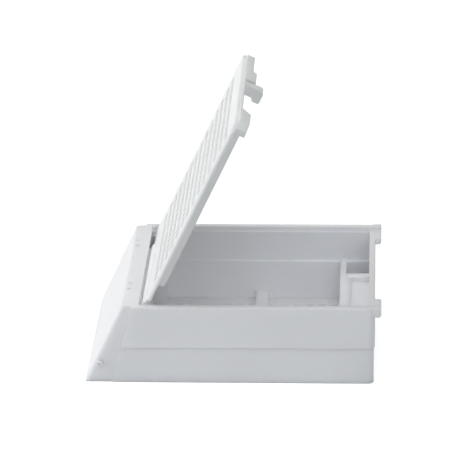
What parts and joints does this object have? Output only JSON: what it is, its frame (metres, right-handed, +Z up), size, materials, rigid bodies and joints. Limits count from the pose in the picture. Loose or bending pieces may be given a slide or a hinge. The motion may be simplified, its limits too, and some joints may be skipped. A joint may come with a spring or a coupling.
{
  "type": "tissue cassette",
  "caption": "White plastic tissue cassette with a sloped writing face, a deep well with a grille floor and a perforated hinged lid that stands open.",
  "frame": {"origin": "centre of the bounding box, on the surface that the cassette stands on", "axes": "+X from the writing slope's toe towards the latch end, +Y across the cassette, +Z up"},
  "size_m": [0.0408, 0.0286, 0.0383],
  "materials": {
    "base_plastic": "satin",
    "lid_plastic": "satin"
  },
  "bodies": {
    "base": {"base": "base_plastic"},
    "lid": {"lid": "lid_plastic"}
  },
  "joints": [
    {"name": "lid_hinge", "type": "hinge", "parent": "base", "child": "lid", "pos_m": [-0.01159, 0, 0.01116], "axis": [0, 1, 0], "range_deg": [-63.5, 64.5]}
  ]
}
